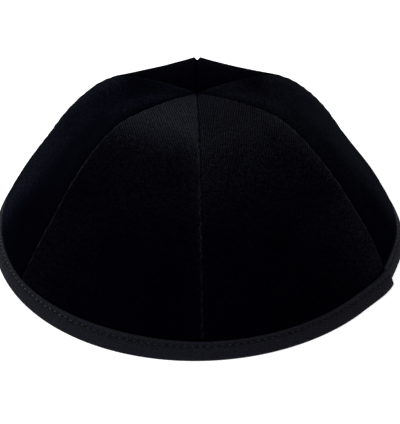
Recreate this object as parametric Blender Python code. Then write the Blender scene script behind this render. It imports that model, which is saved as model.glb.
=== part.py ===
"""A six-panel velvet skullcap that stands on its tape-bound rim, in metres, with +Z up.

The front of the cap faces -Y. Azimuths are in degrees: 0 is the front, 90 the viewer's right.
The surface is worked out from the seam lines' common profile. Between two seams a panel is
nearly flat at the crown and rounds out towards the rim, as a sewn gore does.
"""
import math
from collections import namedtuple

import bmesh
import bpy
from mathutils import Vector

# Driving sizes in metres
RIM_RADIUS = 0.0902
HEIGHT = 0.070
CLOTH = 0.0018
SEAM_GAP = 0.0003
SEAM_ROLL = 0.0024
SEAM_DEPTH = 0.0008
TIP_RADIUS = 0.0010
TAPE_THICKNESS = 0.0008
TAPE_OUTSIDE = 0.0066
TAPE_INSIDE = 0.0062
TAPE_CLEARANCE = 0.0003
TAPE_FOLD_RADIUS = 0.0010
RIM_BLEND = 0.0060
LAP_LENGTH = 0.0230
LAP_RISE = 0.0020
LAP_PINCH = 0.0007
LAP_PINCH_LENGTH = 0.0400

# Where the tape's folded end lies
LAP_AZIMUTH = 64.0

# Mesh counts
PANEL_ROWS = 19
PANEL_COLUMNS = 10
TAPE_COLUMNS = 96

# The seam lines' profile, from the middle of the crown to the rim
Profile = namedtuple("Profile", "radius_share height_share")
SEAM_PROFILE = (
    Profile(0.00, 1.000),
    Profile(0.13, 1.000),
    Profile(0.26, 0.988),
    Profile(0.39, 0.962),
    Profile(0.50, 0.892),
    Profile(0.60, 0.776),
    Profile(0.70, 0.622),
    Profile(0.80, 0.435),
    Profile(0.90, 0.245),
    Profile(1.00, 0.000),
)

# How straight a panel runs from seam to seam: 1 is a straight chord, 0 is a round arc
Flatness = namedtuple("Flatness", "radius_share flatness")
PANEL_FLATNESS = (
    Flatness(0.00, 1.12),
    Flatness(0.35, 1.12),
    Flatness(0.55, 0.95),
    Flatness(0.75, 0.62),
    Flatness(0.90, 0.12),
    Flatness(1.00, 0.00),
)

# The seams in order. The cloth stands out or sinks along each one by shares of the rim's
# radius at the shoulder and the skirt, and by a share of the height at the crown.
Seam = namedtuple("Seam", "name azimuth shoulder skirt crown")
SEAMS = (
    Seam("front centre", 1.9, 0.000, 0.000, 0.005),
    Seam("front right", 64.6, -0.004, 0.022, 0.010),
    Seam("back right", 120.2, 0.024, 0.010, 0.010),
    Seam("back centre", 179.7, -0.010, 0.000, -0.020),
    Seam("back left", 243.6, 0.014, 0.000, 0.020),
    Seam("front left", 302.3, 0.000, 0.000, 0.006),
)

# The panels, each starting at the seam of the same place in the list above
Panel = namedtuple("Panel", "name flatness")
PANELS = (
    Panel("front_right_panel", 1.00),
    Panel("side_right_panel", 1.00),
    Panel("back_right_panel", 1.16),
    Panel("back_left_panel", 1.16),
    Panel("side_left_panel", 1.00),
    Panel("front_left_panel", 1.00),
)

# The worn rim is slightly out of round: lobes, azimuth of the first one, share of the radius
Lobe = namedtuple("Lobe", "count azimuth share")
OUT_OF_ROUND = (Lobe(2, 26.0, 0.011), Lobe(3, -28.0, 0.009))

VELVET_COLOUR = (0.004, 0.004, 0.007, 1.0)
TAPE_COLOUR = (0.012, 0.012, 0.017, 1.0)


def smooth_read(table, x):
    """Read a two-column table at x along a smooth curve that never overshoots its rows."""
    xs = [row[0] for row in table]
    ys = [row[1] for row in table]
    last = len(xs) - 1
    i = max(k for k in range(last) if xs[k] <= max(x, xs[0]))
    steps = [(ys[k + 1] - ys[k]) / (xs[k + 1] - xs[k]) for k in range(last)]

    def slope(k):
        if k == 0 or k == last:
            return steps[min(k, last - 1)]
        before, after = steps[k - 1], steps[k]
        if before * after <= 0.0:
            return 0.0
        return 2.0 * before * after / (before + after)

    span = xs[i + 1] - xs[i]
    t = min(max((x - xs[i]) / span, 0.0), 1.0)
    keep = (1.0 + 2.0 * t) * (1.0 - t) ** 2
    leave = t * (1.0 - t) ** 2 * span
    reach = t * t * (3.0 - 2.0 * t)
    arrive = t * t * (t - 1.0) * span
    return keep * ys[i] + leave * slope(i) + reach * ys[i + 1] + arrive * slope(i + 1)


def ease(t):
    """Rise smoothly from 0 to 1."""
    t = min(max(t, 0.0), 1.0)
    return t * t * (3.0 - 2.0 * t)


def seam_after(index):
    """Give the azimuth of the seam that ends a panel, past 360 degrees for the last one."""
    turn = 360.0 if index == len(SEAMS) - 1 else 0.0
    return SEAMS[(index + 1) % len(SEAMS)].azimuth + turn


def panel_at(azimuth):
    """Find the panel that an azimuth crosses, and the share of its width there."""
    turned = (azimuth - SEAMS[0].azimuth) % 360.0 + SEAMS[0].azimuth
    index = max(k for k in range(len(SEAMS)) if SEAMS[k].azimuth <= turned)
    width = seam_after(index) - SEAMS[index].azimuth
    return index, (turned - SEAMS[index].azimuth) / width


def across(index, share, column):
    """Blend one column of the seam table from a panel's first seam to its second."""
    first = getattr(SEAMS[index], column)
    second = getattr(SEAMS[(index + 1) % len(SEAMS)], column)
    return first + (second - first) * share


def lap_pinch(azimuth):
    """Give how far the rim is drawn in beside the tape's lapped end, as a share from 0 to 1."""
    past = (azimuth - LAP_AZIMUTH + 180.0) % 360.0 - 180.0
    along = math.radians(past) * RIM_RADIUS / LAP_PINCH_LENGTH
    return math.sin(math.pi * min(max(along + 0.25, 0.0), 1.0)) ** 2


def surface(azimuth, radius_share):
    """Give the outer surface's radius and height on one azimuth."""
    index, share = panel_at(azimuth)
    half = math.radians(seam_after(index) - SEAMS[index].azimuth) / 2.0
    chord = math.cos(half) / math.cos((2.0 * share - 1.0) * half)
    flatness = smooth_read(PANEL_FLATNESS, radius_share) * PANELS[index].flatness
    radius = RIM_RADIUS * radius_share * (1.0 - flatness * (1.0 - chord))
    for lobe in OUT_OF_ROUND:
        wave = math.cos(math.radians(lobe.count * (azimuth - lobe.azimuth)))
        radius += RIM_RADIUS * radius_share ** 2 * lobe.share * wave
    radius -= LAP_PINCH * radius_share ** 6 * lap_pinch(azimuth)
    shoulder = math.sin(math.pi * radius_share ** 1.3) ** 2
    skirt = math.sin(math.pi * radius_share ** 3) ** 2
    radius += RIM_RADIUS * shoulder * across(index, share, "shoulder")
    radius += RIM_RADIUS * skirt * across(index, share, "skirt")
    crown = math.sin(math.pi * min(radius_share / 0.62, 1.0)) ** 2
    height = HEIGHT * (smooth_read(SEAM_PROFILE, radius_share) + crown * across(index, share, "crown"))
    return radius, height


def share_at_height(height):
    """Find the share of the radius at which the skirt's profile passes a height."""
    low, high = 0.5, 1.0
    for _ in range(40):
        middle = (low + high) / 2.0
        if HEIGHT * smooth_read(SEAM_PROFILE, middle) > height:
            low = middle
        else:
            high = middle
    return (low + high) / 2.0


def inward(azimuth, radius_share, level):
    """Give the direction into the cloth, in its upright plane; level 1 makes it horizontal."""
    step = 0.01
    r0, z0 = surface(azimuth, max(radius_share - step, 0.0))
    r1, z1 = surface(azimuth, min(radius_share + step, 1.0))
    length = math.hypot(r1 - r0, z1 - z0)
    out = (z0 - z1) / length
    up = (r1 - r0) / length * (1.0 - level)
    size = math.hypot(out, up)
    return -out / size, -up / size


def place(azimuth, radius, height):
    """Turn an azimuth, a radius and a height into a point."""
    angle = math.radians(azimuth)
    return Vector((radius * math.sin(angle), -radius * math.cos(angle), height))


def row_shares(start, stop, count):
    """Space rows evenly along the seam profile between two shares of the radius."""
    samples = 400
    shares = [start + (stop - start) * k / samples for k in range(samples + 1)]
    points = [(RIM_RADIUS * s, HEIGHT * smooth_read(SEAM_PROFILE, s)) for s in shares]
    run = [0.0]
    for before, after in zip(points, points[1:]):
        run.append(run[-1] + math.dist(before, after))
    rows = []
    for k in range(count + 1):
        wanted = run[-1] * k / count
        nearest = min(range(len(run)), key=lambda i: abs(run[i] - wanted))
        rows.append(shares[nearest])
    return rows


def panel_azimuths(index, radius):
    """Space one row's columns: two close ones roll in at each seam, the rest are even."""
    first = SEAMS[index].azimuth + math.degrees(SEAM_GAP / 2.0 / radius)
    last = seam_after(index) - math.degrees(SEAM_GAP / 2.0 / radius)
    roll = min(math.degrees(SEAM_ROLL / radius), (last - first) / 5.0)
    inner = [first + roll + (last - first - 2.0 * roll) * k / PANEL_COLUMNS for k in range(PANEL_COLUMNS + 1)]
    return [first, first + roll / 3.0] + inner + [last - roll / 3.0, last]


def panel_loop(index, radius_share, tucked):
    """Give the closed loop of points around one row of a panel's cloth.

    A tucked row lies under the tape, so its face is set in by the tape and its clearance. The
    cloth's inner face moves in as far, over a short height above the tape.
    """
    mean_radius = RIM_RADIUS * radius_share
    height = HEIGHT * smooth_read(SEAM_PROFILE, radius_share)
    under = TAPE_THICKNESS + TAPE_CLEARANCE
    near_rim = ease((TAPE_OUTSIDE + TAPE_CLEARANCE + RIM_BLEND - height) / RIM_BLEND)
    azimuths = panel_azimuths(index, mean_radius)
    roll = [1.0, 0.45] + [0.0] * (PANEL_COLUMNS + 1) + [0.45, 1.0]
    groove = SEAM_DEPTH * ease(mean_radius / (4.0 * SEAM_ROLL))
    outer, inner = [], []
    for azimuth, rolled in zip(azimuths, roll):
        radius, z = surface(azimuth, radius_share)
        across_wall, down = inward(azimuth, radius_share, near_rim)
        depth = under if tucked else groove * rolled
        thickness = CLOTH + under * near_rim
        outer.append(place(azimuth, radius + across_wall * depth, z + down * depth))
        inner.append(place(azimuth, radius + across_wall * thickness, z + down * thickness))
    return outer + inner[::-1]


def loft(name, loops, ring, material):
    """Skin a row of equal closed loops, joining the ends into a ring or closing them."""
    mesh = bmesh.new()
    rows = [[mesh.verts.new(point) for point in loop] for loop in loops]
    count = len(loops[0])
    pairs = list(zip(rows, rows[1:]))
    if ring:
        pairs.append((rows[-1], rows[0]))
    for before, after in pairs:
        for k in range(count):
            following = (k + 1) % count
            mesh.faces.new((before[k], before[following], after[following], after[k]))
    if not ring:
        for row in (rows[0], rows[-1]):
            for k in range(count // 2 - 1):
                mesh.faces.new((row[k], row[k + 1], row[count - 2 - k], row[count - 1 - k]))
    bmesh.ops.recalc_face_normals(mesh, faces=mesh.faces)
    data = bpy.data.meshes.new(name)
    mesh.to_mesh(data)
    mesh.free()
    data.shade_smooth()
    data.set_sharp_from_angle(angle=math.radians(40.0))
    data.materials.append(material)
    part = bpy.data.objects.new(name, data)
    bpy.context.scene.collection.objects.link(part)
    return part


def cloth_material(name, colour, roughness):
    """Make a plain cloth material."""
    material = bpy.data.materials.new(name)
    material.use_nodes = True
    shader = material.node_tree.nodes["Principled BSDF"]
    shader.inputs["Base Color"].default_value = colour
    shader.inputs["Roughness"].default_value = roughness
    shader.inputs["Metallic"].default_value = 0.0
    return material


def build_panel(index):
    """Build one velvet gore from its tip at the crown to its foot inside the tape's fold."""
    shelf = share_at_height(TAPE_OUTSIDE + TAPE_CLEARANCE)
    foot = share_at_height(TAPE_THICKNESS + TAPE_CLEARANCE)
    middle = share_at_height((TAPE_OUTSIDE + TAPE_THICKNESS) / 2.0)
    shares = row_shares(TIP_RADIUS / RIM_RADIUS, shelf, PANEL_ROWS)
    loops = [panel_loop(index, share, False) for share in shares]
    loops += [panel_loop(index, share, True) for share in (shelf, middle, foot)]
    name = PANELS[index].name
    material = cloth_material(name.replace("panel", "velvet"), VELVET_COLOUR, 0.85)
    return loft(name, loops, False, material)


def lap_rise(azimuth):
    """Give how far the tape's lapped end stands out: most at its fold, fading along it."""
    back = math.radians(LAP_AZIMUTH - azimuth) * RIM_RADIUS
    if back < 0.0 or back > LAP_LENGTH:
        return 0.0
    return LAP_RISE * (1.0 - ease(back / LAP_LENGTH))


def tape_section(azimuth):
    """Give the closed section of the folded tape on one azimuth, as a loop of points."""
    under = TAPE_THICKNESS + TAPE_CLEARANCE
    total = 2.0 * under + CLOTH
    fold = TAPE_FOLD_RADIUS
    edge = 0.3 * fold
    rise = lap_rise(azimuth)
    outside = (
        (-rise, TAPE_OUTSIDE),
        (-rise, (TAPE_OUTSIDE + fold) / 2.0),
        (-rise, fold),
        (edge - rise, edge),
        (fold, 0.0),
        (total - fold, 0.0),
        (total - edge, edge),
        (total, fold),
        (total, (TAPE_INSIDE + fold) / 2.0),
        (total, TAPE_INSIDE),
    )
    inside = (
        (total - TAPE_THICKNESS, TAPE_INSIDE),
        (total - TAPE_THICKNESS, (TAPE_INSIDE + TAPE_THICKNESS) / 2.0),
        (total - TAPE_THICKNESS, TAPE_THICKNESS),
        (TAPE_THICKNESS, TAPE_THICKNESS),
        (TAPE_THICKNESS, (TAPE_OUTSIDE + TAPE_THICKNESS) / 2.0),
        (TAPE_THICKNESS, TAPE_OUTSIDE),
    )
    points = []
    for depth, height in outside + inside:
        radius, _ = surface(azimuth, share_at_height(height))
        points.append(place(azimuth, radius - depth, height))
    return points


def build_binding():
    """Build the tape that is folded over the rim, with the step of its lapped end."""
    azimuths = [360.0 * k / TAPE_COLUMNS for k in range(TAPE_COLUMNS)]
    step = math.degrees(TAPE_THICKNESS / 2.0 / RIM_RADIUS)
    azimuths = [a for a in azimuths if not LAP_AZIMUTH - step < a < LAP_AZIMUTH + 2.0 * step]
    azimuths = sorted(azimuths + [LAP_AZIMUTH, LAP_AZIMUTH + step])
    material = cloth_material("binding_tape", TAPE_COLOUR, 0.75)
    return loft("rim_binding", [tape_section(azimuth) for azimuth in azimuths], True, material)


def main():
    for old in list(bpy.data.objects):
        bpy.data.objects.remove(old, do_unlink=True)
    for index in range(len(PANELS)):
        build_panel(index)
    build_binding()


main()
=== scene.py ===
"""A black velvet six-gore kippah with a ribbed binding tape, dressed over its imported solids."""
import math
from collections import namedtuple

import bpy
import numpy as np
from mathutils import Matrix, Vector, noise


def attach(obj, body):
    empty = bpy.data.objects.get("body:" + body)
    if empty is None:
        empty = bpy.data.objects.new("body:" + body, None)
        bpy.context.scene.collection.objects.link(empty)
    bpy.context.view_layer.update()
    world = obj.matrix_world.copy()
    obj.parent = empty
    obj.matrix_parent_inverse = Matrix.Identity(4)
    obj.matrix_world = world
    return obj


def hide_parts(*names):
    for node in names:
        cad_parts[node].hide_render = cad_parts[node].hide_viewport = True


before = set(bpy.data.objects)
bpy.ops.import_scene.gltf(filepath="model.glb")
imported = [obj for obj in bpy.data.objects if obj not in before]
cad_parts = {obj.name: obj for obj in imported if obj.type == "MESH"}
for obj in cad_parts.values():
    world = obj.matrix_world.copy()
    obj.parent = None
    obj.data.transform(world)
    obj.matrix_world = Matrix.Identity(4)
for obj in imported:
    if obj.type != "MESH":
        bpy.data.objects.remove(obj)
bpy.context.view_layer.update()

bl_info = {
    "name": "Kippah Maker",
    "version": (1, 0, 0),
    "blender": (4, 5, 0),
    "location": "3D View > Sidebar > Kippah",
    "description": "Sews a velvet kippah with a ribbed binding tape and sets it on a pale table",
    "category": "Add Mesh",
}

MM = 0.001
TURN = 2.0 * math.pi

# A stretch over which something comes up from nothing to its whole: its start and its length
Span = namedtuple("Span", "start over")

# The cap's own sizes, in metres, as its solids have them
RIM_RADIUS = 0.0902
HEIGHT = 0.070
CLOTH = 0.0018
SEAM_ROLL = 0.0015
SEAM_DEPTH = 0.0006
TAPE_THICKNESS = 0.0008
TAPE_OUTSIDE = 0.0066
TAPE_INSIDE = 0.0062
TAPE_CLEARANCE = 0.0003
TAPE_FOLD_RADIUS = 0.0010
RIM_BLEND = 0.0060
LAP_LENGTH = 0.0230
LAP_RISE = 0.0020
LAP_PINCH = 0.0007
LAP_PINCH_LENGTH = 0.0400
LAP_AZIMUTH = 64.0
UNDER_TAPE = TAPE_THICKNESS + TAPE_CLEARANCE

# The tape's twill lines lean from its length by this many degrees
TWILL_SLANT = 18.0

# How finely each piece is made, and the angle in degrees from which an edge stays sharp
SHARP_ANGLE = 55.0
GORE_ROWS = 118
GORE_COLUMNS = 84
EDGE_ROWS = 14
FOOT_ROWS = 4
COLUMNS_PER_STITCH = 6
TIP_RADIUS = 0.0003
TIP_REACH = 0.0005
SEAM_ALLOWANCE = 0.0050
DIMPLE_RADIUS = 0.0042
DIMPLE_DEPTH = 0.0009
EDGE_ABOVE = 2.4 * MM
EDGE_BELOW = 0.4 * MM

# How the seams stray and how the cloth lies between them
SWAY = 0.16 * MM
SWAY_PITCH = 4.3 * MM
SWAY_REACH = 3.0 * MM
SWAY_SPAN = Span(2.0 * MM, 5.0 * MM)
SWAY_RADIUS = 4.0 * MM
LOOSE_HEIGHT = 8.0 * MM
LOOSE_RADIUS = 12.0 * MM
GATHER_REACH = 4.0 * MM
GATHER_FLAT = 0.9 * MM
WIDE_DENT = 34.0 * MM
SMALL_DENT = 13.0 * MM
SMALL_DENT_SHARE = 0.35
DENT_MARGIN = 9.0 * MM
VALLEY_DEPTH = 0.7 * MM
VALLEY_REACH = 3.0 * MM

# How the cloth goes in behind the tape, and how it looks along a seam from inside
TUCK_HEIGHT = 1.0 * MM
PUFF = 0.25 * MM
PUFF_HEIGHT = 2.4 * MM
PUFF_SPREAD = 1.4 * MM
ALLOWANCE_THICKNESS = 0.4 * MM
ALLOWANCE_EDGE = 0.8 * MM
DITCH_DEPTH = 0.6 * MM
DITCH_WIDTH = 0.5 * MM
SEWN_WIDTH = 0.6 * MM
TIP_STEP = 0.02 * MM

# How the tape lies: its corners, its belly, its waves and the groove of its stitching
TAPE_CORNER = 0.25 * MM
BELLY = 0.28 * MM
GROOVE_WIDTH = 0.6 * MM
EDGE_LIFT = 0.12 * MM
TAPE_WAVE = 0.04 * MM
TAPE_WOBBLE = 0.12 * MM
WOBBLE_SPAN = Span(5.0 * MM, 3.0 * MM)
STRAY_SPAN = Span(5.4 * MM, 1.0 * MM)
STITCH_SLIP = 0.12 * MM

# Where the tape is rubbed paler, and how wide each of these bands is. The last one is painted
# shade along the stitch groove.
WORN_TOP = 0.4 * MM
WORN_FOLD_HEIGHT = 0.4 * MM
WORN_FOLD = 0.9 * MM
WORN_LAP = 0.7 * MM
GROOVE_SHADE_WIDTH = 0.5 * MM

# The painted light and shade in the pile beside a seam: how wide it is, and over which radius
# shares it comes up and dies away. The hollow is painted shade, the line a painted highlight.
VALLEY_WIDTH = 0.09
BAND_WIDTH = 3.6 * MM
BAND_COMES = Span(0.30, 0.15)
BAND_GOES = Span(0.62, 0.20)
BAND_LOSS = 0.75
GLOW_WIDTH = 20.0 * MM
GLOW_COMES = Span(0.66, 0.16)
HOLLOW_WIDTH = 0.42 * MM
HOLLOW_SHADE = 0.9
LINE_OFFSET = 0.6 * MM
LINE_WIDTH = 0.50 * MM
LINE_GRAIN = 2.6 * MM
LINE_GOES = Span(0.45, 0.40)
LINE_GAIN_IN_GLOW = 0.40
LINE_LOSS = -0.55
LINE_CROWN = 0.35
LINE_GAIN_AT_CROWN = 0.5

# How far the painted light strays from its radius shares, and how dark the painted shade in the
# middle of the crown is
LIGHT_STRAY = 0.02
LIGHT_STRAY_SIZE = 26.0 * MM
LIGHT_STRAY_OVER = 0.3
CROWN_WIDTH = 0.7 * DIMPLE_RADIUS
CROWN_SHADE = 0.95

# The weave of the inner face, the tape's floats, and how the painted light changes on a pile that
# leans to blue
WEAVE_PITCH = 0.55 * MM
FLOAT_PITCH = 1.3 * MM
BLUE_LEAN = (-0.14, -0.08, 0.18)

# The studio: the table's size and grey, and the soft lamp
TABLE_SIZE = 6.0
TABLE_GREY = (0.92, 0.92, 0.92, 1.0)
WHITE = (1.0, 1.0, 1.0, 1.0)
SOFTBOX_SIZE = 0.7
SOFTBOX_PLACE = (-0.95, -0.28, 0.72)
SOFTBOX_AIM = (0.0, 0.0, 0.03)

# The seam lines' profile, from the middle of the crown to the rim
Profile = namedtuple("Profile", "radius_share height_share")
SEAM_PROFILE = (
    Profile(0.00, 1.000),
    Profile(0.13, 1.000),
    Profile(0.26, 0.988),
    Profile(0.39, 0.962),
    Profile(0.50, 0.892),
    Profile(0.60, 0.776),
    Profile(0.70, 0.622),
    Profile(0.80, 0.435),
    Profile(0.90, 0.245),
    Profile(1.00, 0.000),
)

# How straight a gore runs from seam to seam: 1 is a straight chord, 0 is a round arc
Flatness = namedtuple("Flatness", "radius_share flatness")
GORE_FLATNESS = (
    Flatness(0.00, 1.12),
    Flatness(0.35, 1.12),
    Flatness(0.55, 0.95),
    Flatness(0.75, 0.62),
    Flatness(0.90, 0.12),
    Flatness(1.00, 0.00),
)

# The seams in order, with how far the cloth stands out along each one, and how deep the seam
# lies as a multiple of the usual depth
Seam = namedtuple("Seam", "name azimuth shoulder skirt crown groove")
SEAMS = (
    Seam("front centre", 1.9, 0.000, 0.000, 0.005, 1.0),
    Seam("front right", 64.6, -0.004, 0.022, 0.010, 1.2),
    Seam("back right", 120.2, 0.024, 0.010, 0.010, 1.0),
    Seam("back centre", 179.7, -0.010, 0.000, -0.020, 2.6),
    Seam("back left", 243.6, 0.014, 0.000, 0.020, 1.0),
    Seam("front left", 302.3, 0.000, 0.000, 0.006, 1.2),
)

# The painted light along one seam of a gore: the thin painted highlight line on its edge; the band
# beside it, painted light where it is above zero and painted shade in a valley below zero, where
# the cloth also dips; and the broad painted glow beside it on the skirt
Edge = namedtuple("Edge", "line band glow")
PLAIN = Edge(0.0, 0.0, 0.0)

# Patches of painted light on a side gore: strength, place and width across it, and the radius
# shares over which each one comes up and dies away
Patch = namedtuple("Patch", "strength place width comes goes")
RIDGE = Patch(0.32, 0.76, 0.16, Span(0.08, 0.10), Span(0.36, 0.14))
BACK_EDGE = Patch(0.62, 0.0, 6.0 * MM, Span(0.33, 0.10), Span(0.68, 0.15))

# A side gore turns to the back in a fold: its column of painted light in the table below, the
# place of its back seam across it, where the fold's painted light ends across it, and the patch of
# painted light by the crown
Side = namedtuple("Side", "fold back_at fold_goes crest")
LEFT_SIDE = Side("left_fold", 0, Span(0.40, 0.30),
                 Patch(0.24, 0.25, 0.15, Span(0.03, 0.04), Span(0.12, 0.12)))
RIGHT_SIDE = Side("right_fold", 1, Span(0.46, 0.30),
                  Patch(0.24, 0.25, 0.15, Span(0.03, 0.04), Span(0.17, 0.12)))

# The gores, each from the seam of the same place above to the next one. Grain is how far its
# wales lean, in degrees; blue is how far the painted light on its pile leans to blue; its painted
# highlight lines start at the radius share lines_from.
Gore = namedtuple("Gore", "name flatness grain nap side sheen blue lines_from first last")
GORES = (
    Gore("front_right", 1.00, -35.0, "front_right", None, 0.004, 0.0, 0.0,
         PLAIN, Edge(1.60, 0.35, 0.32)),
    Gore("side_right", 1.00, 0.0, "side_right", RIGHT_SIDE, 0.012, 0.3, 0.0,
         Edge(0.0, -0.35, 0.0), Edge(0.25, 0.0, 0.0)),
    Gore("back_right", 1.16, 0.0, "back", None, 0.004, 0.0, 0.48,
         Edge(0.7, -0.30, 0.0), PLAIN),
    Gore("back_left", 1.16, 0.0, "back", None, 0.004, 0.0, 0.48,
         Edge(0.8, 0.0, 0.0), Edge(0.60, 0.0, 0.0)),
    Gore("side_left", 1.00, 0.0, "side_left", LEFT_SIDE, 0.012, 0.75, 0.0,
         Edge(0.95, 0.0, 0.0), Edge(0.0, -0.60, 0.0)),
    Gore("front_left", 1.00, 38.0, "front_left", None, 0.004, 0.0, 0.0,
         Edge(1.15, 0.0, 0.09), Edge(0.90, 0.08, 0.0)),
)

# Light and shade painted into the pile from the crown down to the rim, for how light falls on each
# gore and how its pile, laid its own way when the gore was cut, throws that light back.
Nap = namedtuple("Nap", (
    "radius_share front_left front_right side_left side_right left_fold right_fold back"))
PAINTED_NAP_LIGHT = (
    Nap(0.00, 1.36, 0.92, 0.30, 0.30, 0.00, 0.00, 0.02),
    Nap(0.32, 1.54, 0.72, 0.12, 0.18, 0.00, 0.00, 0.12),
    Nap(0.40, 0.94, 0.70, 0.15, 0.28, 0.05, 0.08, 0.28),
    Nap(0.46, 0.40, 0.56, 0.16, 0.30, 0.08, 0.13, 0.30),
    Nap(0.54, 0.14, 0.34, 0.12, 0.27, 0.12, 0.22, 0.28),
    Nap(0.63, 0.09, 0.19, 0.06, 0.18, 0.20, 0.38, 0.30),
    Nap(0.74, 0.02, 0.05, 0.02, 0.09, 0.29, 0.50, 0.20),
    Nap(0.86, 0.00, 0.01, 0.00, 0.03, 0.48, 0.60, 0.07),
    Nap(1.00, 0.00, 0.00, 0.00, 0.00, 0.42, 0.50, 0.02),
)

# The tape's upper edge strays from its usual height: how far everywhere, and about some azimuths
TAPE_STRAY = 0.12 * MM
Stray = namedtuple("Stray", "azimuth spread rise")
TAPE_STRAYS = (
    Stray(-25.0, 25.0, 0.95 * MM),
    Stray(50.0, 14.0, 0.50 * MM),
    Stray(88.0, 15.0, -0.60 * MM),
)

# The worn rim is slightly out of round: lobes, azimuth of the first one, share of the radius
Lobe = namedtuple("Lobe", "count azimuth share")
OUT_OF_ROUND = (Lobe(2, 26.0, 0.011), Lobe(3, -28.0, 0.009))


class KippahCloth(bpy.types.PropertyGroup):
    """Sizes and colours of the velvet."""

    deep: bpy.props.FloatVectorProperty(
        name="Deep Pile", description="Colour that the pile has where one looks into it",
        default=(0.00018, 0.00018, 0.0010), size=3, min=0.0, max=1.0, subtype="COLOR")
    # The lit pile colour is the colour of the light painted into the pile
    light: bpy.props.FloatVectorProperty(
        name="Lit Pile", description="Colour of the pile where its fibres catch the light",
        default=(0.0055, 0.0057, 0.0082), size=3, min=0.0, max=1.0, subtype="COLOR")
    backing: bpy.props.FloatVectorProperty(
        name="Backing", description="Colour of the woven inner face",
        default=(0.0060, 0.0060, 0.0075), size=3, min=0.0, max=1.0, subtype="COLOR")
    wale_pitch: bpy.props.FloatProperty(
        name="Wale Pitch", description="Distance between the fine ribs in the pile",
        default=1.02 * MM, min=0.0003, max=0.004, precision=5, subtype="DISTANCE", unit="LENGTH")
    pucker: bpy.props.FloatProperty(
        name="Pucker", description="How far the cloth is gathered up beside its seams",
        default=0.16 * MM, min=0.0, max=0.001, precision=5, subtype="DISTANCE", unit="LENGTH")
    pucker_pitch: bpy.props.FloatProperty(
        name="Pucker Pitch", description="Distance between the gathers along a seam",
        default=6.5 * MM, min=0.002, max=0.03, precision=4, subtype="DISTANCE", unit="LENGTH")
    dent: bpy.props.FloatProperty(
        name="Dent", description="Depth of the cloth's soft dents",
        default=0.45 * MM, min=0.0, max=0.002, precision=5, subtype="DISTANCE", unit="LENGTH")


class KippahTape(bpy.types.PropertyGroup):
    """Sizes and colours of the binding tape and its thread."""

    dark: bpy.props.FloatVectorProperty(
        name="Rib Hollows", description="Colour between the tape's ribs",
        default=(0.0010, 0.0010, 0.0020), size=3, min=0.0, max=1.0, subtype="COLOR")
    light: bpy.props.FloatVectorProperty(
        name="Rib Tops", description="Colour on the tape's ribs",
        default=(0.0066, 0.0067, 0.0108), size=3, min=0.0, max=1.0, subtype="COLOR")
    thread: bpy.props.FloatVectorProperty(
        name="Thread", description="Colour of the topstitching thread",
        default=(0.0105, 0.0110, 0.0165), size=3, min=0.0, max=1.0, subtype="COLOR")
    rib_pitch: bpy.props.FloatProperty(
        name="Rib Pitch", description="Distance between the slanted ribs of the tape's twill",
        default=0.78 * MM, min=0.0003, max=0.003, precision=5, subtype="DISTANCE", unit="LENGTH")
    stitches: bpy.props.IntProperty(
        name="Stitches", description="Number of stitches around the rim",
        default=188, min=40, max=400)
    stitch_drop: bpy.props.FloatProperty(
        name="Stitch Drop", description="From the tape's upper edge down to the topstitching",
        default=1.25 * MM, min=0.0005, max=0.005, precision=4, subtype="DISTANCE", unit="LENGTH")
    stitch_length: bpy.props.FloatProperty(
        name="Stitch Length", description="Length of the thread that shows in one stitch",
        default=1.5 * MM, min=0.0005, max=0.006, precision=4, subtype="DISTANCE", unit="LENGTH")
    thread_radius: bpy.props.FloatProperty(
        name="Thread Radius", description="Half the thickness of the thread",
        default=0.22 * MM, min=0.00005, max=0.001, precision=5, subtype="DISTANCE", unit="LENGTH")
    groove: bpy.props.FloatProperty(
        name="Stitch Groove", description="How far the topstitching draws the tape in",
        default=0.32 * MM, min=0.0, max=0.001, precision=5, subtype="DISTANCE", unit="LENGTH")


class KippahStage(bpy.types.PropertyGroup):
    """The camera, the lights and the table."""

    distance: bpy.props.FloatProperty(
        name="Camera Distance", description="From the middle of the cap to the camera",
        default=0.70, min=0.2, max=5.0, subtype="DISTANCE", unit="LENGTH")
    elevation: bpy.props.FloatProperty(
        name="Camera Elevation", description="How far above the table the camera looks from",
        default=math.radians(34.2), min=0.0, max=1.5, subtype="ANGLE", unit="ROTATION")
    aim_height: bpy.props.FloatProperty(
        name="Aim Height", description="Height of the point that the camera looks at",
        default=9.4 * MM, min=-0.1, max=0.2, precision=4, subtype="DISTANCE", unit="LENGTH")
    lens: bpy.props.FloatProperty(
        name="Focal Length", description="The camera's focal length in millimetres",
        default=136.6, min=20.0, max=400.0)
    shift: bpy.props.FloatProperty(
        name="Sideways Shift", description="Lens shift that places the cap in the frame",
        default=0.0078, min=-0.1, max=0.1, precision=4)
    sky: bpy.props.FloatProperty(
        name="Soft Light", description="Brightness of the white light from all round",
        default=0.85, min=0.0, max=5.0)
    key: bpy.props.FloatProperty(
        name="Key Light", description="Power of the soft lamp on the left",
        default=8.0, min=0.0, max=100.0, subtype="POWER", unit="POWER")
    glow: bpy.props.FloatProperty(
        name="Table Glow", description="Light that the pale table gives by itself",
        default=0.45, min=0.0, max=2.0)


def ease(t):
    """Rise smoothly from 0 to 1, at every value of an array."""
    t = np.clip(t, 0.0, 1.0)
    return t * t * (3.0 - 2.0 * t)


def come_up(x, span):
    """Rise smoothly from 0 to 1 over a span."""
    return ease((x - span.start) / span.over)


def bell(x, middle, width):
    """Give a smooth bump: 1 at its middle, and almost nothing two widths away."""
    return np.exp(-((x - middle) / width) ** 2)


def degrees_past(azimuth, start):
    """Give how many degrees an azimuth lies past another one, from -180 to 180."""
    return (azimuth - start + 180.0) % 360.0 - 180.0


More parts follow.
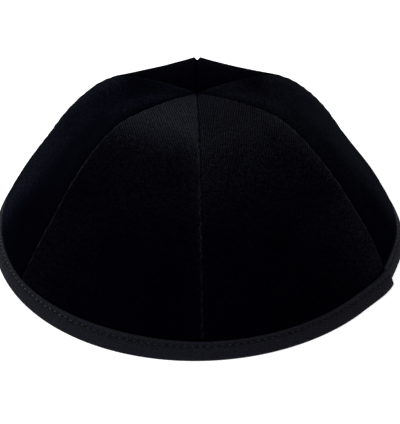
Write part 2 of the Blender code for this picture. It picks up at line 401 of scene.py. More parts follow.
def smooth_read(table, x):
    """Read a two-column table at every x along a smooth curve that never overshoots its rows."""
    xs, ys = np.array(table, float).T
    steps = np.diff(ys) / np.diff(xs)
    before, after = steps[:-1], steps[1:]
    level = np.zeros_like(before)
    bends = np.divide(2.0 * before * after, before + after, out=level, where=before * after > 0.0)
    slopes = np.concatenate([steps[:1], bends, steps[-1:]])
    i = np.clip(np.searchsorted(xs, x, side="right") - 1, 0, len(xs) - 2)
    span = xs[i + 1] - xs[i]
    t = np.clip((x - xs[i]) / span, 0.0, 1.0)
    start = (1.0 + 2.0 * t) * (1.0 - t) ** 2 * ys[i] + t * (1.0 - t) ** 2 * span * slopes[i]
    return start + t * t * (3.0 - 2.0 * t) * ys[i + 1] + t * t * (t - 1.0) * span * slopes[i + 1]


SEAM_STARTS = np.array([seam.azimuth - SEAMS[0].azimuth for seam in SEAMS])
GORE_WIDTHS = np.diff(np.append(SEAM_STARTS, 360.0))


def lap_pinch(azimuth):
    """Give how far the rim is drawn in beside the tape's lapped end, as a share from 0 to 1."""
    along = np.radians(degrees_past(azimuth, LAP_AZIMUTH)) * RIM_RADIUS / LAP_PINCH_LENGTH
    return np.sin(math.pi * np.clip(along + 0.25, 0.0, 1.0)) ** 2


def lap_rise(azimuth):
    """Give how far the tape's lapped end stands out: most at its fold, fading along it."""
    back = np.radians(degrees_past(LAP_AZIMUTH, azimuth)) * RIM_RADIUS
    fold = ease((back + 0.5 * TAPE_THICKNESS) / TAPE_THICKNESS)
    return LAP_RISE * fold * (1.0 - ease(back / LAP_LENGTH))


def surface(azimuth, radius_share):
    """Give the outer surface's radius and height at arrays of azimuths and radius shares."""
    turned = (azimuth - SEAMS[0].azimuth) % 360.0
    index = np.clip(np.searchsorted(SEAM_STARTS, turned, side="right") - 1, 0, len(GORES) - 1)
    across = (turned - SEAM_STARTS[index]) / GORE_WIDTHS[index]
    half = np.radians(GORE_WIDTHS[index]) / 2.0
    chord = np.cos(half) / np.cos((2.0 * across - 1.0) * half)
    flatness = np.array([gore.flatness for gore in GORES])[index]
    flatness = smooth_read(GORE_FLATNESS, radius_share) * flatness
    radius = RIM_RADIUS * radius_share * (1.0 - flatness * (1.0 - chord))
    for lobe in OUT_OF_ROUND:
        wave = np.cos(np.radians(lobe.count * (azimuth - lobe.azimuth)))
        radius = radius + RIM_RADIUS * radius_share ** 2 * lobe.share * wave
    radius = radius - LAP_PINCH * radius_share ** 6 * lap_pinch(azimuth)

    def along(column):
        values = np.array([getattr(seam, column) for seam in SEAMS])
        following = values[(index + 1) % len(SEAMS)]
        return values[index] + (following - values[index]) * across

    # Each of these waves starts and ends at nothing and stands highest in its own zone
    radius = radius + RIM_RADIUS * np.sin(math.pi * radius_share ** 1.3) ** 2 * along("shoulder")
    radius = radius + RIM_RADIUS * np.sin(math.pi * radius_share ** 3) ** 2 * along("skirt")
    crown = np.sin(math.pi * np.minimum(radius_share / 0.62, 1.0)) ** 2
    height = HEIGHT * (smooth_read(SEAM_PROFILE, radius_share) + crown * along("crown"))
    return radius, height


def outward(azimuth, radius_share, level=0.0):
    """Give the direction out of the cloth as radius and height parts; level 1 is horizontal."""
    r0, z0 = surface(azimuth, np.maximum(radius_share - 0.01, 0.0))
    r1, z1 = surface(azimuth, np.minimum(radius_share + 0.01, 1.0))
    out = z0 - z1
    up = (r1 - r0) * (1.0 - level)
    size = np.hypot(out, up)
    return out / size, up / size


PROFILE_SHARES = np.linspace(0.0, 1.0, 2001)
PROFILE_HEIGHTS = HEIGHT * smooth_read(SEAM_PROFILE, PROFILE_SHARES)
PROFILE_RUN = np.concatenate([[0.0], np.cumsum(np.hypot(
    np.diff(PROFILE_SHARES * RIM_RADIUS), np.diff(PROFILE_HEIGHTS)))])


def share_at_height(height):
    """Find the shares of the radius at which the skirt's profile passes some heights."""
    skirt = PROFILE_SHARES >= 0.5
    return np.interp(height, PROFILE_HEIGHTS[skirt][::-1], PROFILE_SHARES[skirt][::-1])


def tape_rise(azimuth):
    """Give how far the tape's upper edge strays above its usual height, most at the front left."""
    rise = TAPE_STRAY
    for stray in TAPE_STRAYS:
        rise = rise + stray.rise * bell(degrees_past(azimuth, stray.azimuth), 0.0, stray.spread)
    return rise


def place(azimuth, radius, height):
    """Turn azimuths, radii and heights into points."""
    angle = np.radians(azimuth)
    return np.stack([radius * np.sin(angle), -radius * np.cos(angle), height], -1)


def cloth_noise(points, size, seed):
    """Give a smooth irregular value from -1 to 1 at every point, with dents of one size."""
    flat = points.reshape(-1, 3) / size
    values = [noise.noise(Vector((x + seed, y - seed, z))) for x, y, z in flat.tolist()]
    return np.array(values).reshape(points.shape[:-1])


def skin(name, loops, ring, uv, materials, attributes=None, second=None):
    """Skin equal closed loops into one closed mesh object with a UV map and attributes.

    The loops join up into a ring, or their two ends are closed. The UV map has one more column
    than the loops have points, and one more row if they make a ring. Faces whose place in the
    loop is in second take the second material.
    """
    rows, count = loops.shape[:2]
    bands = rows if ring else rows - 1
    row, step = np.meshgrid(np.arange(bands), np.arange(count), indexing="ij")
    corner_rows = np.stack([row, row, row + 1, row + 1], -1).reshape(-1, 4)
    corner_steps = np.stack([step, step + 1, step + 1, step], -1).reshape(-1, 4)
    slots = np.zeros(bands * count, int)
    if second is not None:
        slots = np.tile(second.astype(int), bands)
    if not ring:
        k = np.arange(count // 2 - 1)
        cap = np.stack([k, k + 1, count - 2 - k, count - 1 - k], -1)
        corner_rows = np.concatenate([corner_rows, 0 * cap, 0 * cap + rows - 1])
        corner_steps = np.concatenate([corner_steps, cap[:, ::-1], cap])
        slots = np.concatenate([slots, np.zeros(2 * len(k), int)])
    faces = (corner_rows % rows) * count + corner_steps % count
    points = loops.reshape(-1, 3)
    corners = points[faces]
    normal = np.cross(corners[:, 2] - corners[:, 0], corners[:, 3] - corners[:, 1])
    if (corners.mean(1) * normal).sum() < 0.0:
        faces = faces[:, ::-1]
        corner_rows = corner_rows[:, ::-1]
        corner_steps = corner_steps[:, ::-1]
    mesh = bpy.data.meshes.new(name)
    mesh.from_pydata(points.tolist(), [], faces.tolist())
    mesh.polygons.foreach_set("material_index", slots)
    layer = mesh.uv_layers.new(name="cloth")
    layer.data.foreach_set("uv", uv[corner_rows, corner_steps].astype(np.float32).reshape(-1))
    for key, values in (attributes or {}).items():
        data = mesh.attributes.new(key, "FLOAT", "POINT").data
        data.foreach_set("value", values.astype(np.float32).reshape(-1))
    for material in materials:
        mesh.materials.append(material)
    mesh.shade_smooth()
    mesh.set_sharp_from_angle(angle=math.radians(SHARP_ANGLE))
    mesh.update()
    piece = bpy.data.objects.new(name, mesh)
    bpy.context.scene.collection.objects.link(piece)
    return piece


class Value:
    """A node's output socket that can be used in arithmetic."""

    def __init__(self, graph, socket):
        self.graph = graph
        self.socket = socket

    def math(self, operation, *others):
        inputs = dict(enumerate((self,) + others))
        return self.graph.node("ShaderNodeMath", {"operation": operation}, inputs)

    def __add__(self, other):
        return self.math("ADD", other)

    def __radd__(self, other):
        return self.math("ADD", other)

    def __mul__(self, other):
        return self.math("MULTIPLY", other)

    def __sub__(self, other):
        return self.math("SUBTRACT", other)

    def __rsub__(self, other):
        return self.graph.node("ShaderNodeMath", {"operation": "SUBTRACT"}, {0: other, 1: self})

    def cosine(self):
        return self.math("COSINE")

    def clamped(self):
        return self.graph.node("ShaderNodeClamp", {}, {"Value": self})


class Finish:
    """A material and the nodes that lead to its Principled shader."""

    def __init__(self, name):
        self.material = bpy.data.materials.new(name)
        self.material.use_nodes = True
        self.tree = self.material.node_tree
        self.shader = self.tree.nodes["Principled BSDF"]

    def node(self, kind, settings, inputs, output=0):
        """Add a node: its settings first, then the values or links of its sockets."""
        made = self.tree.nodes.new(kind)
        for key, value in settings.items():
            setattr(made, key, value)
        for key, value in inputs.items():
            self.feed(made.inputs[key], value)
        return Value(self, made.outputs[output])

    def feed(self, socket, value):
        if isinstance(value, Value):
            self.tree.links.new(value.socket, socket)
        else:
            socket.default_value = value

    def surface(self, **sockets):
        """Set or link the shader's sockets, named in lower case with underscores."""
        for key, value in sockets.items():
            words = [word if word == "IOR" else word.capitalize() for word in key.split("_")]
            self.feed(self.shader.inputs[" ".join(words)], value)
        return self.material

    def attribute(self, name):
        """Read a value that the mesh carries at its points."""
        return self.node("ShaderNodeAttribute", {"attribute_name": name}, {}, 2)

    def cloth_map(self):
        """Read the place on the flat cloth, in metres."""
        return self.node("ShaderNodeUVMap", {"uv_map": "cloth"}, {})

    def part(self, vector, index):
        """Give one of the three parts of a vector."""
        return self.node("ShaderNodeSeparateXYZ", {}, {0: vector}, index)

    def colours(self, share, dark, light):
        """Mix two colours by a share from 0 to 1, or beyond it for a stronger light."""
        settings = {"data_type": "RGBA", "clamp_factor": False}
        inputs = {0: share, 6: (*dark, 1.0), 7: (*light, 1.0)}
        return self.node("ShaderNodeMix", settings, inputs, 2)

    def grain(self, vector, size, detail=2.0, roughness=0.6):
        """Give fine noise around 0.5, with specks of one size in metres."""
        inputs = {"Vector": vector, "Scale": 1.0 / size, "Detail": detail, "Roughness": roughness}
        return self.node("ShaderNodeTexNoise", {}, inputs)

    def bump(self, height, distance, strength=1.0):
        """Raise the surface by a height from 0 to 1 over a distance in metres."""
        inputs = {"Height": height, "Distance": distance, "Strength": strength}
        return self.node("ShaderNodeBump", {}, inputs)


def velvet_finish(gore, cloth):
    """Black velvet: deep pile with painted light and shade, faint wales, a soft grazing sheen."""
    made = Finish(f"velvet_{gore.name}")
    # The light and shade painted into this gore's pile
    painted_light = made.attribute("painted_light")
    sewn = made.cloth_map()
    turn = (0.0, 0.0, math.radians(gore.grain))
    laid = made.node("ShaderNodeMapping", {}, {"Vector": sewn, "Rotation": turn})
    drawn_out = made.node("ShaderNodeMapping", {}, {"Vector": laid, "Scale": (1.0, 0.18, 1.0)})
    drift = made.grain(sewn, 9.0 * MM)
    pile = made.grain(sewn, 0.8 * MM, 2.0, 0.7)
    broken = made.grain(drawn_out, 0.9 * MM)
    tufts = made.grain(sewn, 1.9 * MM)
    mottle = made.grain(sewn, 15.0 * MM)
    wale = (made.part(laid, 0) * (TURN / cloth.wale_pitch) + drift * 9.0).cosine() * 0.5 + 0.5
    # Pile with little painted light is seen as single specks and patches, with much as one even
    # face
    softer = (painted_light * 1.2).clamped()
    speck = (pile * 4.0 - 1.5).clamped() * (1.8 - softer) + 0.15 + softer * 0.45
    uneven = (mottle * 0.8 + tufts * 1.5 - 0.65).clamped() * 1.84
    cloud = uneven * (1.0 - softer * 0.6) + softer * 0.55
    # The wales come and go along their length, and show only where light is painted into the pile
    shown = (broken * 4.0 - 1.1).clamped()
    waled = 1.0 + (wale - 0.45) * shown * (painted_light * 3.2).clamped() * 1.4
    # The colour of the painted light, leaning to blue on some gores
    lit = [part * (1.0 + lean * gore.blue) for part, lean in zip(cloth.light, BLUE_LEAN)]
    height = pile * 0.6 + wale * 0.4 + tufts * 0.3
    return made.surface(
        base_color=made.colours((painted_light + 0.04) * speck * cloud * waled, cloth.deep, lit),
        roughness=0.95,
        specular_IOR_level=0.0,
        sheen_weight=gore.sheen,
        sheen_roughness=0.22,
        sheen_tint=(0.62, 0.72, 1.0, 1.0),
        normal=made.bump(height, 0.3 * MM, 0.7),
    )


def backing_finish(cloth):
    """The velvet's woven inner face: a close plain weave, darker along its sewn seams."""
    made = Finish("velvet_backing")
    stitched = made.attribute("sewn")
    sewn = made.cloth_map()
    warp = (made.part(sewn, 0) * (TURN / WEAVE_PITCH)).cosine()
    weft = (made.part(sewn, 1) * (TURN / WEAVE_PITCH)).cosine()
    slub = made.grain(sewn, 3.0 * MM)
    weave = warp * weft * 0.25 + 0.5
    share = (weave * 0.7 + slub * 0.6) * (1.0 - stitched * 0.8).clamped()
    dark = tuple(0.3 * part for part in cloth.backing)
    return made.surface(
        base_color=made.colours(share, dark, cloth.backing),
        roughness=0.8,
        specular_IOR_level=0.08,
        normal=made.bump(weave, 0.12 * MM, 0.5),
    )


def tape_finish(tape):
    """Ribbed woven tape, paler on its ribs and along its worn edges, with painted shade in its
    groove.
    """
    made = Finish("binding_tape")
    wear_and_groove_shade = made.attribute("wear_and_groove_shade")
    sewn = made.cloth_map()
    around = made.part(sewn, 0)
    across = made.part(sewn, 1)
    drift = made.grain(sewn, 6.0 * MM)
    yarn = made.grain(sewn, 0.7 * MM, 2.0, 0.7)
    slub = made.grain(sewn, 3.0 * MM)
    slant = math.radians(TWILL_SLANT)
    over_ribs = around * math.sin(slant) - across * math.cos(slant)
    turns = over_ribs * (TURN / tape.rib_pitch) + drift * 7.0
    rib = turns.cosine() * 0.5 + 0.5
    floats = (around * (TURN / FLOAT_PITCH) + turns * 0.5 + slub * 6.0).cosine() * 0.5 + 0.5
    yarns = (yarn * 4.0 - 1.5).clamped() * 1.1 + 0.5
    # Rubbed edges come out paler, and painted shade darkens the stitch groove
    share = (0.42 + rib * 0.24 + rib * floats * 0.22) * yarns * (0.5 + slub) + wear_and_groove_shade * 0.5
    height = rib * 0.7 + floats * 0.25 + yarn * 0.4
    return made.surface(
        base_color=made.colours(share, tape.dark, tape.light),
        roughness=0.75,
        specular_IOR_level=0.03,
        sheen_weight=0.012,
        sheen_roughness=0.5,
        sheen_tint=(0.55, 0.68, 1.0, 1.0),
        normal=made.bump(height, 0.25 * MM, 0.7),
    )


def thread_finish(tape):
    """Smooth dark thread: a painted highlight at the front left, painted shade at the right."""
    made = Finish("topstitch_thread")
    spot = made.node("ShaderNodeTexCoord", {}, {}, 3)
    sideways = made.part(spot, 0)
    twist = made.grain(spot, 0.25 * MM)
    uneven = made.grain(spot, 2.2 * MM)
    # A painted highlight on the stitches at the front left, painted shade on those at the right
    painted_highlight = ((sideways * -1.0 - 0.038) * 55.0).clamped()
    painted_shade = ((sideways - 0.025) * 25.0).clamped()
    dark = tuple(0.4 * part for part in tape.thread)
    share = twist * 0.6 + (uneven - 0.5) * 1.2 + painted_highlight * 3.1 - painted_shade * 0.75
    return made.surface(
        base_color=made.colours(share, dark, tape.thread),
        roughness=0.3,
        specular_IOR_level=0.12,
        normal=made.bump(twist, 0.06 * MM, 0.5),
    )


def settle(piece, slot, *nodes):
    """Let a finished piece ride with the cap and stand for its solids."""
    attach(piece, "root")
    if nodes:
        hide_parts(*nodes)
    return piece


def gore_shares():
    """Space a gore's rows: even down to the tape, close at its edge, few inside its fold."""
    edge = float(share_at_height(TAPE_OUTSIDE + EDGE_ABOVE))
    start = np.interp(TIP_RADIUS / RIM_RADIUS, PROFILE_SHARES, PROFILE_RUN)
    stop = np.interp(edge, PROFILE_SHARES, PROFILE_RUN)
    even = np.interp(np.linspace(start, stop, GORE_ROWS), PROFILE_RUN, PROFILE_SHARES)
    tuck = np.linspace(TAPE_OUTSIDE + EDGE_ABOVE, TAPE_OUTSIDE - EDGE_BELOW, EDGE_ROWS)[1:]
    foot = np.linspace(TAPE_OUTSIDE - EDGE_BELOW, UNDER_TAPE, FOOT_ROWS)[1:]
    return np.concatenate([even, share_at_height(np.concatenate([tuck, foot]))])


def patch_light(patch, across, share):
    """Give the painted light of one patch at places across a gore and radius shares."""
    light = patch.strength * bell(across, patch.place, patch.width)
    return light * come_up(share, patch.comes) * (1.0 - come_up(share, patch.goes))


def side_light(side, share, across, from_seam):
    """Give a side gore's added painted light: on its fold, near the crown and at its back edge."""
    from_back = np.abs(across - side.back_at)
    fold = smooth_read([(nap.radius_share, getattr(nap, side.fold)) for nap in PAINTED_NAP_LIGHT], share)
    fold = fold * (1.0 - come_up(from_back, side.fold_goes))
    ridge = patch_light(RIDGE, from_back, share)
    crest = patch_light(side.crest, from_back, share)
    edge = patch_light(BACK_EDGE, from_seam, share) * (from_back < 0.5)
    return fold + ridge + crest + edge


def gore_painted_light(gore, share, across, from_seam, radius, points):
    """Give the light and shade painted into the pile at every point of a gore."""
    stray = LIGHT_STRAY * cloth_noise(points, LIGHT_STRAY_SIZE, 4.0) * ease(share / LIGHT_STRAY_OVER)
    strayed = share + stray
    painted_light = smooth_read([(nap.radius_share, getattr(nap, gore.nap)) for nap in PAINTED_NAP_LIGHT], strayed)
    if gore.side:
        painted_light = painted_light + side_light(gore.side, strayed, across, from_seam)
    # Painted highlight line, painted light or shade band, and painted glow beside each seam
    line, band, glow = (np.where(across < 0.5, *pair) for pair in zip(gore.first, gore.last))
    valley = bell(np.minimum(across, 1.0 - across), 0.0, VALLEY_WIDTH)
    lower = come_up(share, BAND_COMES) * (1.0 - BAND_LOSS * come_up(share, BAND_GOES))
    beside = np.maximum(band, 0.0) * bell(from_seam, 0.0, BAND_WIDTH) * lower
    painted_light = painted_light * (1.0 + np.minimum(band, 0.0) * valley) + beside
    painted_light = painted_light + glow * bell(from_seam, 0.0, GLOW_WIDTH) * come_up(share, GLOW_COMES)
    # Painted shade in the hollow of the seam
    hollow = 1.0 - HOLLOW_SHADE * bell(from_seam, 0.0, HOLLOW_WIDTH)
    # The painted highlight line is broken as if sewn. It is strongest by the crown and weak on a
    # dark skirt.
    broken = np.clip(0.7 + 0.9 * cloth_noise(points, LINE_GRAIN, 21.0), 0.15, 1.4)
    fade = 1.0 + np.where(glow > 0.0, LINE_GAIN_IN_GLOW, LINE_LOSS) * come_up(share, LINE_GOES)
    fade = fade + LINE_GAIN_AT_CROWN * (1.0 - ease(share / LINE_CROWN))
    edge = bell(from_seam, LINE_OFFSET, LINE_WIDTH) * (share >= gore.lines_from)
    painted_light = painted_light * hollow + line * broken * edge * fade
    # Painted shade in the middle of the crown
    return painted_light * (1.0 - CROWN_SHADE * bell(radius, 0.0, CROWN_WIDTH))


def seam_sway(index, run):
    """Give how far a seam strays to its side along its run, as sewn by hand."""
    sway = np.sin(run * TURN / SWAY_PITCH + 1.7 * index + 2.0 * np.sin(run * 310.0))
    return SWAY * sway * come_up(run, SWAY_SPAN)


def build_gore(index, cloth):
    """Sew one velvet gore: a closed cloth wall with rolled, puckered seam edges.

    Its tip reaches a little past the middle, so that the six tips close the crown together.
    """
    gore = GORES[index]
    shares = gore_shares()
    across = 0.5 - 0.5 * np.cos(np.linspace(0.0, math.pi, GORE_COLUMNS + 1))
    share, across = np.meshgrid(shares, across, indexing="ij")
    azimuth = SEAMS[index].azimuth + GORE_WIDTHS[index] * across
    radius, height = surface(azimuth, share)
    run = np.interp(share, PROFILE_SHARES, PROFILE_RUN)
    arc = np.radians(GORE_WIDTHS[index]) * radius
    from_seam = np.minimum(across, 1.0 - across) * arc
    base = place(azimuth, radius, height)
    which = np.where(across < 0.5, index, (index + 1) % len(SEAMS))
    sway = seam_sway(which, run) * np.exp(-from_seam / SWAY_REACH)
    azimuth = azimuth + np.degrees(sway / np.maximum(radius, SWAY_RADIUS))
    near_rim = ease((TAPE_OUTSIDE + TAPE_CLEARANCE + RIM_BLEND - height) / RIM_BLEND)
    out, up = outward(azimuth, share, near_rim)

    groove = np.array([seam.groove for seam in SEAMS])[which]
    roll = SEAM_DEPTH * groove * (1.0 - ease(from_seam / SEAM_ROLL))
    roll = roll * ease(radius / (4.0 * SEAM_ROLL))
    loose = ease((height - TAPE_OUTSIDE) / LOOSE_HEIGHT) * ease(radius / LOOSE_RADIUS)
    phase = TURN * run / cloth.pucker_pitch + 3.0 * np.sin(run * 90.0 + index)
    gather = np.exp(-from_seam / GATHER_REACH) * (1.0 - np.exp(-from_seam / GATHER_FLAT))
    pucker = cloth.pucker * gather * np.sin(phase) * loose
    dents = cloth_noise(base, WIDE_DENT, index)
    dents = dents + SMALL_DENT_SHARE * cloth_noise(base, SMALL_DENT, index + 9)
    dents = cloth.dent * dents * loose * ease(from_seam / DENT_MARGIN)
    over_tape = height - TAPE_OUTSIDE - tape_rise(azimuth)
    tuck = UNDER_TAPE * ease((TUCK_HEIGHT - over_tape) / TUCK_HEIGHT)
    puff = PUFF * bell(over_tape, PUFF_HEIGHT, PUFF_SPREAD)
    valley = -np.minimum(np.where(across < 0.5, gore.first.band, gore.last.band), 0.0)
    valley = VALLEY_DEPTH * valley * bell(from_seam, 0.0, VALLEY_REACH) * loose
    lift = pucker + dents - valley + puff * (1.0 - tuck / UNDER_TAPE) - np.maximum(roll, tuck)
    height = height - DIMPLE_DEPTH * bell(radius, 0.0, DIMPLE_RADIUS)
    turned_in = 1.0 - ease((from_seam - SEAM_ALLOWANCE) / ALLOWANCE_EDGE)
    allowance = ALLOWANCE_THICKNESS * turned_in - DITCH_DEPTH * bell(from_seam, 0.0, DITCH_WIDTH)
    allowance = allowance * (1.0 - near_rim) * ease(radius / (3.0 * SEAM_ALLOWANCE))
    depth = CLOTH + UNDER_TAPE * near_rim + allowance
    outer = place(azimuth, radius + out * lift, height + up * lift)
    inner = place(azimuth, radius - out * depth, height - up * depth)
    loops = np.concatenate([outer, inner[:, ::-1]], 1)
    near_tip = bell(radius, 0.0, 3.0 * TIP_REACH)
    beyond = SEAMS[index].azimuth + GORE_WIDTHS[index] / 2.0 + 180.0
    reach = place(beyond + 0.0 * radius, TIP_REACH * near_tip, -TIP_STEP * index * near_tip)
    loops = loops + np.concatenate([reach, reach[:, ::-1]], 1)

    sewn = np.stack([(across - 0.5) * arc, run], -1)
    sewn = np.concatenate([sewn, sewn[:, ::-1], sewn[:, :1]], 1)
    # Light and shade painted into the pile by place
    painted_light = gore_painted_light(gore, share, across, from_seam, radius, base)
    stitched = bell(from_seam, 0.0, SEWN_WIDTH) + 0.5 * bell(from_seam, SEAM_ALLOWANCE, SEWN_WIDTH)
    columns = across.shape[1]
    inside = np.zeros(2 * columns, bool)
    inside[columns:-1] = True
    piece = skin(
        f"{gore.name}_gore", loops, False, sewn,
        (velvet_finish(gore, cloth), backing_finish(cloth)),
        {"painted_light": np.concatenate([painted_light, painted_light[:, ::-1]], 1),
         "sewn": np.concatenate([stitched, stitched[:, ::-1]], 1)}, inside)
    settle(piece, "velvet", f"{gore.name}_panel")
    widths = arc.max(1)
    area = float(np.sum((widths[1:] + widths[:-1]) / 2.0 * np.diff(run[:, 0])))


def tape_lift(azimuth, height, tape):
    """Give how far the tape's outer face stands out or is drawn in by its stitching."""
    stitch_height = TAPE_OUTSIDE - tape.stitch_drop
    phase = azimuth / 360.0 * tape.stitches
    pull = 0.72 + 0.28 * np.cos(TURN * (phase + 0.5))
    groove = bell(height, stitch_height, GROOVE_WIDTH) * tape.groove * pull
    belly_share = (height - TAPE_FOLD_RADIUS) / (stitch_height - TAPE_FOLD_RADIUS)
    belly_share = np.clip(belly_share, 0.0, 1.0)
    belly = BELLY * np.sin(math.pi * belly_share)
    edge_share = np.clip((height - stitch_height) / tape.stitch_drop, 0.0, 1.0)
    edge = EDGE_LIFT * edge_share * (1.0 + 0.8 * np.cos(TURN * phase))
    angle = np.radians(azimuth)
    wave = TAPE_WAVE * np.sin(angle * 23.0 + 2.0 * np.sin(angle * 5.0))
    return belly + edge - groove + wave * belly_share


def tape_outline():
    """Give the folded tape's section as depths and heights, from its outer edge round to it."""
    total = 2.0 * UNDER_TAPE + CLOTH
    fold = TAPE_FOLD_RADIUS
    thick = TAPE_THICKNESS
    corner = TAPE_CORNER
    quarter = np.linspace(0.0, math.pi / 2.0, 6)
    outer = np.linspace(TAPE_OUTSIDE - corner, fold, 20)
    down = [(0.0, height) for height in outer]
    down += [(fold * (1.0 - math.cos(a)), fold * (1.0 - math.sin(a))) for a in quarter[1:]]
    down += [(fold + (total - 2.0 * fold) * share, 0.0) for share in (0.33, 0.67)]
    up = [(total - fold * (1.0 - math.sin(a)), fold * (1.0 - math.cos(a))) for a in quarter]
    up += [(total, height) for height in np.linspace(fold, TAPE_INSIDE - corner, 12)[1:]]
    up += [(total - corner, TAPE_INSIDE), (total - thick + corner, TAPE_INSIDE)]
    back = [(total - thick, height) for height in np.linspace(TAPE_INSIDE - corner, thick, 4)]
    back += [(thick, height) for height in np.linspace(thick, TAPE_OUTSIDE - corner, 4)]
    back += [(thick - corner, TAPE_OUTSIDE), (corner, TAPE_OUTSIDE)]
    return np.array(down + up + back), len(outer)


def tape_face(azimuth, height, tape, inside=False):
    """Give radius and height of the tape's outer or inner face, with its lap and its lift."""
    radius, _ = surface(azimuth, share_at_height(height))
    if inside:
        return radius - 2.0 * UNDER_TAPE - CLOTH, height
    return radius + lap_rise(azimuth) + tape_lift(azimuth, height, tape), height


def build_tape(tape):
    """Fold the binding over the rim, with its grooved stitch line and its lapped end."""
    outline, outer_count = tape_outline()
    columns = tape.stitches * COLUMNS_PER_STITCH
    turn = LAP_AZIMUTH + np.linspace(0.0, 360.0, columns, endpoint=False)
    azimuth = turn[:, None] + 0.0 * outline[None, :, 0]
    depth = outline[None, :, 0] + 0.0 * azimuth
    height = outline[None, :, 1] + 0.0 * azimuth
    radius, _ = surface(azimuth, share_at_height(height))
    shown = 1.0 - ease(depth / TAPE_THICKNESS)
    lapped = lap_rise(azimuth) * (1.0 - ease(depth / (2.0 * TAPE_THICKNESS)))
    lift = tape_lift(azimuth, height, tape) * shown
    angle = np.radians(azimuth)
    wobble = TAPE_WOBBLE * np.sin(angle * 31.0 + 3.0 * np.sin(angle * 7.0))
    wobble = wobble * come_up(height, WOBBLE_SPAN) * shown
    height = height + wobble + tape_rise(azimuth) * come_up(height, STRAY_SPAN)
    loops = place(azimuth, radius - depth + lift + lapped, height)
    steps = np.diff(outline, axis=0, append=outline[:1])
    run = np.concatenate([[0.0], np.cumsum(np.hypot(steps[:, 0], steps[:, 1]))])
    around = np.linspace(0.0, TURN * RIM_RADIUS, columns + 1)
    sewn = np.stack(np.meshgrid(around, run, indexing="ij"), -1)
    top = bell(outline[:, 1], TAPE_OUTSIDE, WORN_TOP)
    fold = bell(outline[:, 1], WORN_FOLD_HEIGHT, WORN_FOLD)
    from_lap = np.radians(degrees_past(LAP_AZIMUTH, azimuth)) * RIM_RADIUS
    # Painted shade along the stitch groove, darkest at the stitch holes, beside the rubbed pale
    # bands
    holes = 0.5 + 0.5 * np.cos(TURN * azimuth / 360.0 * tape.stitches)
    groove_shade = bell(outline[:, 1], TAPE_OUTSIDE - tape.stitch_drop, GROOVE_SHADE_WIDTH)
    wear_and_groove_shade = 0.6 * top + 0.3 * fold + 0.25 * bell(from_lap, 0.0, WORN_LAP)
    wear_and_groove_shade = wear_and_groove_shade - groove_shade * (0.45 + 0.65 * holes)
    piece = skin("binding_tape_fold", loops, True, sewn, (tape_finish(tape),), {"wear_and_groove_shade": wear_and_groove_shade})
    settle(piece, "binding_tape", "rim_binding")
    cut_width = TAPE_OUTSIDE + 2.0 * UNDER_TAPE + CLOTH + TAPE_INSIDE - 1.2 * TAPE_FOLD_RADIUS
    return piece, (cut_width, TURN * RIM_RADIUS + LAP_LENGTH)


def one_stitch(tape):
    """Model one stitch: a slim bead that dives into the cloth at both ends."""
    bpy.ops.object.select_all(action="DESELECT")
    bpy.ops.mesh.primitive_uv_sphere_add(segments=8, ring_count=7, radius=1.0)
    bead = bpy.context.object
    points = np.array([vertex.co[:] for vertex in bead.data.vertices])
    faces = [tuple(face.vertices) for face in bead.data.polygons]
    mesh = bead.data
    bpy.data.objects.remove(bead, do_unlink=True)
    bpy.data.meshes.remove(mesh)
    along = points[:, 2]
    shaped = np.stack([
        along * tape.stitch_length / 2.0,
        points[:, 0] * tape.thread_radius,
        points[:, 1] * tape.thread_radius - 0.9 * tape.thread_radius * along ** 2,
    ], -1)
    return shaped, faces


def build_stitches(name, tape, inside):
    """Copy one stitch around the rim, along the groove in the tape's outer or inner face."""
    bead, bead_faces = one_stitch(tape)
    height = TAPE_OUTSIDE - tape.stitch_drop
    points, faces = [], []
    for k in range(tape.stitches):
        azimuth = 360.0 * (k + 0.5) / tape.stitches
        slip = STITCH_SLIP * math.sin(k * 2.4)
        radius, z = tape_face(np.array(azimuth), np.array(height + slip), tape, inside)
        out, up = outward(np.array(azimuth), share_at_height(height))
        side = -1.0 if inside else 1.0
        angle = math.radians(azimuth)
        tangent = Vector((math.cos(angle), math.sin(angle), 0.05 * math.sin(k * 1.7))).normalized()
        normal = side * Vector((out * math.sin(angle), -out * math.cos(angle), up))
        across = normal.cross(tangent).normalized()
        centre = Vector(place(azimuth, float(radius), float(z)))
        centre = centre + normal * 0.5 * tape.thread_radius
        first = len(points)
        for x, y, up_from in bead:
            points.append(centre + tangent * x + across * y + normal * up_from)
        faces += [tuple(first + i for i in face) for face in bead_faces]
    mesh = bpy.data.meshes.new(name)
    mesh.from_pydata(points, [], faces)
    mesh.materials.append(thread_finish(tape))
    mesh.shade_smooth()
    piece = bpy.data.objects.new(name, mesh)
    bpy.context.scene.collection.objects.link(piece)
    bpy.ops.object.select_all(action="DESELECT")
    bpy.context.view_layer.objects.active = piece
    piece.select_set(True)
    bpy.ops.object.mode_set(mode="EDIT")
    bpy.ops.mesh.select_all(action="SELECT")
    bpy.ops.mesh.normals_make_consistent(inside=False)
    bpy.ops.object.mode_set(mode="OBJECT")
    return settle(piece, "binding_tape")


def table_finish(glow):
    """A plain pale table that gives a little light of its own."""
    made = Finish("pale_table")
    return made.surface(
        base_color=TABLE_GREY,
        roughness=0.9,
        specular_IOR_level=0.1,
        emission_color=WHITE,
        emission_strength=glow,
    )


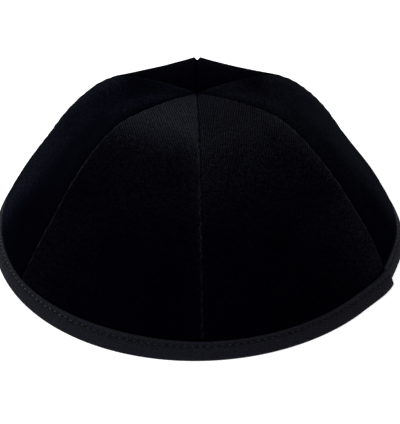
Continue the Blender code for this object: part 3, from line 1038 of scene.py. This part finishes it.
def build_stage(stage):
    """Lay the table, hang the soft lights and set up the camera."""
    bpy.ops.object.select_all(action="DESELECT")
    bpy.ops.mesh.primitive_plane_add(size=TABLE_SIZE, location=(0.0, 0.0, 0.0))
    table = bpy.context.object
    table.name = "pale_table"
    table.data.materials.append(table_finish(stage.glow))

    scene = bpy.context.scene
    world = bpy.data.worlds.new("white_studio")
    world.use_nodes = True
    sky = world.node_tree.nodes["Background"]
    sky.inputs["Color"].default_value = WHITE
    sky.inputs["Strength"].default_value = stage.sky
    scene.world = world

    lamp = bpy.data.lights.new("key_softbox", "AREA")
    lamp.shape = "DISK"
    lamp.size = SOFTBOX_SIZE
    lamp.energy = stage.key
    softbox = bpy.data.objects.new("key_softbox", lamp)
    softbox.location = SOFTBOX_PLACE
    aim = Vector(SOFTBOX_AIM) - softbox.location
    softbox.rotation_euler = aim.to_track_quat("-Z", "Y").to_euler()
    scene.collection.objects.link(softbox)

    view = bpy.data.cameras.new("front_camera")
    view.lens = stage.lens
    view.sensor_width = 36.0
    view.sensor_fit = "AUTO"
    view.shift_x = stage.shift
    view.clip_start = 0.01
    camera = bpy.data.objects.new("front_camera", view)
    back = Vector((0.0, -math.cos(stage.elevation), math.sin(stage.elevation)))
    camera.location = Vector((0.0, 0.0, stage.aim_height)) + back * stage.distance
    camera.rotation_euler = (-back).to_track_quat("-Z", "Y").to_euler()
    scene.collection.objects.link(camera)
    scene.camera = camera
    scene.view_settings.view_transform = "Standard"
    scene.view_settings.look = "None"


class KIPPAH_OT_velvet_gores(bpy.types.Operator):
    """Sew the velvet gores that meet at the crown."""

    bl_idname = "kippah.velvet_gores"
    bl_label = "Velvet Gores"

    def execute(self, context):
        for index in range(len(GORES)):
            build_gore(index, context.scene.kippah_cloth)
        return {"FINISHED"}


class KIPPAH_OT_rim_binding(bpy.types.Operator):
    """Fold the binding tape over the rim and stitch it down."""

    bl_idname = "kippah.rim_binding"
    bl_label = "Rim Binding"

    def execute(self, context):
        tape = context.scene.kippah_tape
        piece, flat = build_tape(tape)
        outside = build_stitches("topstitching", tape, False)
        inside = build_stitches("inner_stitching", tape, True)
        return {"FINISHED"}


class KIPPAH_OT_stage(bpy.types.Operator):
    """Set the cap on a pale table in soft light, with its camera."""

    bl_idname = "kippah.stage"
    bl_label = "Table, Light and Camera"

    def execute(self, context):
        build_stage(context.scene.kippah_stage)
        return {"FINISHED"}


class KIPPAH_PT_sidebar(bpy.types.Panel):
    """Shows every setting, and the steps in the order in which they are run."""

    bl_label = "Kippah"
    bl_space_type = "VIEW_3D"
    bl_region_type = "UI"
    bl_category = "Kippah"

    def draw(self, context):
        scene = context.scene
        for group in (scene.kippah_cloth, scene.kippah_tape, scene.kippah_stage):
            for key in group.bl_rna.properties.keys():
                if key not in ("rna_type", "name"):
                    self.layout.prop(group, key)
        for operator in OPERATORS:
            self.layout.operator(operator.bl_idname)


OPERATORS = (KIPPAH_OT_velvet_gores, KIPPAH_OT_rim_binding, KIPPAH_OT_stage)
CLASSES = (KippahCloth, KippahTape, KippahStage) + OPERATORS + (KIPPAH_PT_sidebar,)


def register():
    for part in CLASSES:
        bpy.utils.register_class(part)
    bpy.types.Scene.kippah_cloth = bpy.props.PointerProperty(type=KippahCloth)
    bpy.types.Scene.kippah_tape = bpy.props.PointerProperty(type=KippahTape)
    bpy.types.Scene.kippah_stage = bpy.props.PointerProperty(type=KippahStage)


def unregister():
    del bpy.types.Scene.kippah_stage
    del bpy.types.Scene.kippah_tape
    del bpy.types.Scene.kippah_cloth
    for part in reversed(CLASSES):
        bpy.utils.unregister_class(part)


def main():
    register()
    bpy.ops.kippah.velvet_gores()
    bpy.ops.kippah.rim_binding()
    bpy.ops.kippah.stage()


if __name__ == "__main__":
    main()
